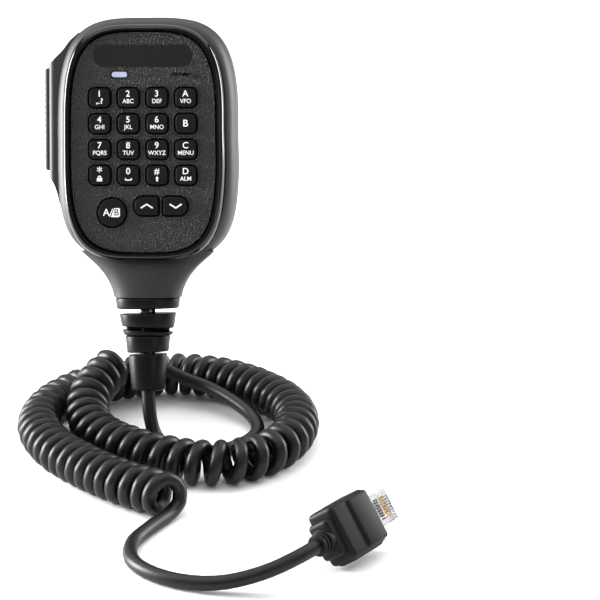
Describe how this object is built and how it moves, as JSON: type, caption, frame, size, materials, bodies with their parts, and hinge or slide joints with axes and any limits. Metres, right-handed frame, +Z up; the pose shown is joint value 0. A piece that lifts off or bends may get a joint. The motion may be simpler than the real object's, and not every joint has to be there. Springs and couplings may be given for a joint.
{
  "type": "hand microphone",
  "caption": "Handheld radio microphone with a keypad face, side press-to-talk bar, magnetic back plate, slotted strain relief, curly cord and modular plug.",
  "frame": {"origin": "centre of the magnetic back plate's outer face, where a magnetic holder carries the handset", "axes": "+Z up, the keypad faces -Y and 16 degrees upwards, +X to the right seen from the keypad side, the press-to-talk bar on -X"},
  "size_m": [0.1527, 0.199, 0.1616],
  "materials": {
    "case_plastic": "fine matt grain",
    "bezel_gloss": "high gloss black",
    "panel_plastic": "leather grain, satin black",
    "name_gloss": "smooth satin black, blank",
    "lens": "milky lens",
    "key_plastic": "smooth matt dark grey with white printed legends",
    "ptt_rubber": "matt ribbed",
    "plate_plastic": "fine matt grain",
    "badge_orange": "satin, blank",
    "steel": "plated",
    "screw_steel": "zinc plated",
    "frame_plastic": "moulded",
    "seal_rubber": "matt",
    "board": "solder mask",
    "chip": "moulded epoxy",
    "relief_rubber": "semi gloss",
    "cord_jacket": "semi gloss extruded jacket",
    "boot_rubber": "satin moulded",
    "clear_plastic": "clear polycarbonate",
    "gold": "gold plated",
    "wire_colour": "coloured insulation"
  },
  "bodies": {
    "handset": {"rear_case": "case_plastic", "front_case": "case_plastic", "bezel_ring": "bezel_gloss", "face_panel": "panel_plastic", "name_plate": "name_gloss", "led_lens": "lens", "case_gasket": "seal_rubber", "back_plate": "plate_plastic", "badge": "badge_orange", "steel_keeper": "steel", "case_screws": "screw_steel", "frame_screws": "screw_steel", "board_screws": "screw_steel", "inner_frame": "frame_plastic", "keypad_mat": "seal_rubber", "circuit_board": "board", "board_chips": "chip", "mic_capsule": "steel", "mic_seal": "seal_rubber", "led_chip": "lens", "ptt_seal": "seal_rubber", "ptt_switch": "chip", "ptt_board": "board", "strain_relief": "relief_rubber", "cable_tail": "cord_jacket", "cord_clamp": "frame_plastic", "inner_wires": "wire_colour", "cord_lead_top": "cord_jacket", "cord_coil": "cord_jacket", "cord_lead_bottom": "cord_jacket", "plug_boot": "boot_rubber", "plug_body": "clear_plastic", "plug_contacts": "gold", "plug_wires": "wire_colour"},
    "key_1": {"key_1": "key_plastic"},
    "key_2": {"key_2": "key_plastic"},
    "key_3": {"key_3": "key_plastic"},
    "key_a": {"key_a": "key_plastic"},
    "key_4": {"key_4": "key_plastic"},
    "key_5": {"key_5": "key_plastic"},
    "key_6": {"key_6": "key_plastic"},
    "key_b": {"key_b": "key_plastic"},
    "key_7": {"key_7": "key_plastic"},
    "key_8": {"key_8": "key_plastic"},
    "key_9": {"key_9": "key_plastic"},
    "key_c": {"key_c": "key_plastic"},
    "key_star": {"key_star": "key_plastic"},
    "key_0": {"key_0": "key_plastic"},
    "key_hash": {"key_hash": "key_plastic"},
    "key_d": {"key_d": "key_plastic"},
    "key_ab": {"key_ab": "key_plastic"},
    "key_up": {"key_up": "key_plastic"},
    "key_down": {"key_down": "key_plastic"},
    "ptt_button": {"ptt_button": "ptt_rubber"},
    "plug_latch": {"plug_latch": "clear_plastic"}
  },
  "joints": [
    {"name": "key_1_press", "type": "slide", "parent": "handset", "child": "key_1", "axis": [0, 0.9613, -0.2756], "range_m": [0, 0.0006], "stiffness_N_per_m": 900, "springref_m": -0.0005},
    {"name": "key_2_press", "type": "slide", "parent": "handset", "child": "key_2", "axis": [0, 0.9613, -0.2756], "range_m": [0, 0.0006], "stiffness_N_per_m": 900, "springref_m": -0.0005},
    {"name": "key_3_press", "type": "slide", "parent": "handset", "child": "key_3", "axis": [0, 0.9613, -0.2756], "range_m": [0, 0.0006], "stiffness_N_per_m": 900, "springref_m": -0.0005},
    {"name": "key_a_press", "type": "slide", "parent": "handset", "child": "key_a", "axis": [0, 0.9613, -0.2756], "range_m": [0, 0.0006], "stiffness_N_per_m": 900, "springref_m": -0.0005},
    {"name": "key_4_press", "type": "slide", "parent": "handset", "child": "key_4", "axis": [0, 0.9613, -0.2756], "range_m": [0, 0.0006], "stiffness_N_per_m": 900, "springref_m": -0.0005},
    {"name": "key_5_press", "type": "slide", "parent": "handset", "child": "key_5", "axis": [0, 0.9613, -0.2756], "range_m": [0, 0.0006], "stiffness_N_per_m": 900, "springref_m": -0.0005},
    {"name": "key_6_press", "type": "slide", "parent": "handset", "child": "key_6", "axis": [0, 0.9613, -0.2756], "range_m": [0, 0.0006], "stiffness_N_per_m": 900, "springref_m": -0.0005},
    {"name": "key_b_press", "type": "slide", "parent": "handset", "child": "key_b", "axis": [0, 0.9613, -0.2756], "range_m": [0, 0.0006], "stiffness_N_per_m": 900, "springref_m": -0.0005},
    {"name": "key_7_press", "type": "slide", "parent": "handset", "child": "key_7", "axis": [0, 0.9613, -0.2756], "range_m": [0, 0.0006], "stiffness_N_per_m": 900, "springref_m": -0.0005},
    {"name": "key_8_press", "type": "slide", "parent": "handset", "child": "key_8", "axis": [0, 0.9613, -0.2756], "range_m": [0, 0.0006], "stiffness_N_per_m": 900, "springref_m": -0.0005},
    {"name": "key_9_press", "type": "slide", "parent": "handset", "child": "key_9", "axis": [0, 0.9613, -0.2756], "range_m": [0, 0.0006], "stiffness_N_per_m": 900, "springref_m": -0.0005},
    {"name": "key_c_press", "type": "slide", "parent": "handset", "child": "key_c", "axis": [0, 0.9613, -0.2756], "range_m": [0, 0.0006], "stiffness_N_per_m": 900, "springref_m": -0.0005},
    {"name": "key_star_press", "type": "slide", "parent": "handset", "child": "key_star", "axis": [0, 0.9613, -0.2756], "range_m": [0, 0.0006], "stiffness_N_per_m": 900, "springref_m": -0.0005},
    {"name": "key_0_press", "type": "slide", "parent": "handset", "child": "key_0", "axis": [0, 0.9613, -0.2756], "range_m": [0, 0.0006], "stiffness_N_per_m": 900, "springref_m": -0.0005},
    {"name": "key_hash_press", "type": "slide", "parent": "handset", "child": "key_hash", "axis": [0, 0.9613, -0.2756], "range_m": [0, 0.0006], "stiffness_N_per_m": 900, "springref_m": -0.0005},
    {"name": "key_d_press", "type": "slide", "parent": "handset", "child": "key_d", "axis": [0, 0.9613, -0.2756], "range_m": [0, 0.0006], "stiffness_N_per_m": 900, "springref_m": -0.0005},
    {"name": "key_ab_press", "type": "slide", "parent": "handset", "child": "key_ab", "axis": [0, 0.9613, -0.2756], "range_m": [0, 0.0006], "stiffness_N_per_m": 900, "springref_m": -0.0005},
    {"name": "key_up_press", "type": "slide", "parent": "handset", "child": "key_up", "axis": [0, 0.9613, -0.2756], "range_m": [0, 0.0006], "stiffness_N_per_m": 900, "springref_m": -0.0005},
    {"name": "key_down_press", "type": "slide", "parent": "handset", "child": "key_down", "axis": [0, 0.9613, -0.2756], "range_m": [0, 0.0006], "stiffness_N_per_m": 900, "springref_m": -0.0005},
    {"name": "ptt_press", "type": "slide", "parent": "handset", "child": "ptt_button", "axis": [1, 0, 0], "range_m": [0, 0.0012], "stiffness_N_per_m": 1500, "springref_m": -0.001},
    {"name": "latch_flex", "type": "hinge", "parent": "handset", "child": "plug_latch", "pos_m": [0.09162, -0.12366, -0.09419], "axis": [0.4668, -0.2805, -0.8387], "range_deg": [0, 6], "stiffness_Nm_per_rad": 0.05, "springref_deg": -5.73}
  ]
}
